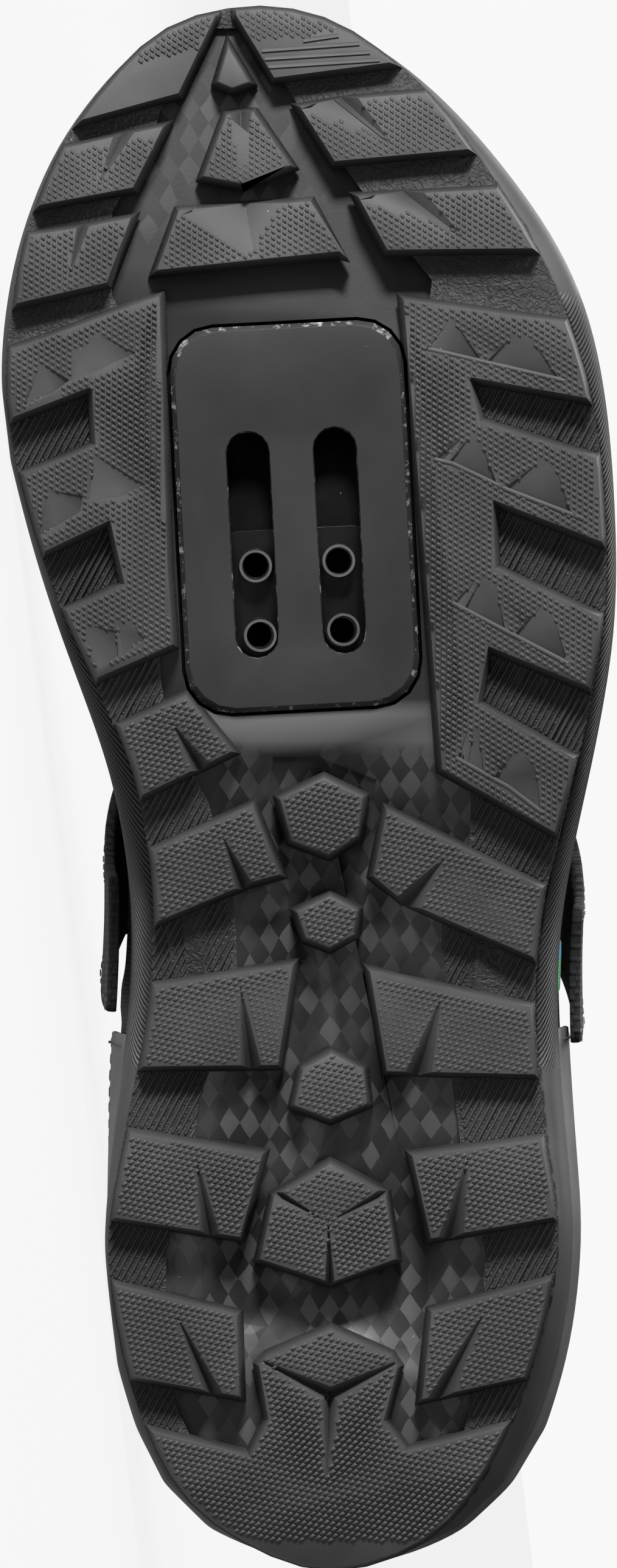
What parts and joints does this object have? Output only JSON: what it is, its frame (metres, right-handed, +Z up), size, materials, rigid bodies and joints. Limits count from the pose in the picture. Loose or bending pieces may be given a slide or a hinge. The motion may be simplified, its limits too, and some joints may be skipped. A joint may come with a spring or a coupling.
{
  "type": "cycling shoe",
  "caption": "Left cycling shoe with a lugged rubber sole, cleat pocket, low cloth upper and two straps, lying on its inner side.",
  "frame": {"origin": "middle of the footprint on the floor, under the shoe as it lies on its inner side", "axes": "-X towards the toe, +Z up towards the shoe's outer side, -Y the way the sole faces"},
  "size_m": [0.266, 0.1078, 0.1012],
  "materials": {
    "tread_rubber": "fine knurled rubber",
    "composite_plate": "dark check-patterned composite, satin",
    "moulded_insert": "smooth moulded plastic",
    "black_steel": "blackened steel",
    "side_wall": "finely ribbed rubber side wall",
    "upper_cloth": "dense dark woven cloth",
    "satin_panel": "grey satin coated panel",
    "strap_webbing": "black woven strap",
    "footbed_cloth": "knitted footbed cover",
    "tab_weave": "fine blue-green woven tab"
  },
  "bodies": {
    "root": {"outsole": "tread_rubber", "lug_toe_point": "tread_rubber", "lug_front_centre": "tread_rubber", "lug_ball_centre": "tread_rubber", "lug_arch_hexagon": "tread_rubber", "lug_waist_hexagon": "tread_rubber", "lug_shank_hexagon": "tread_rubber", "lug_heel_shield": "tread_rubber", "sole_plate": "composite_plate", "cleat_pocket_insert": "moulded_insert", "cleat_nut_plate": "black_steel", "midsole": "side_wall", "insole": "footbed_cloth", "upper": "upper_cloth", "tongue": "upper_cloth", "toe_cap": "satin_panel", "heel_counter": "satin_panel", "instep_strap": "strap_webbing", "forefoot_strap": "strap_webbing", "strap_tab": "tab_weave"}
  },
  "joints": []
}
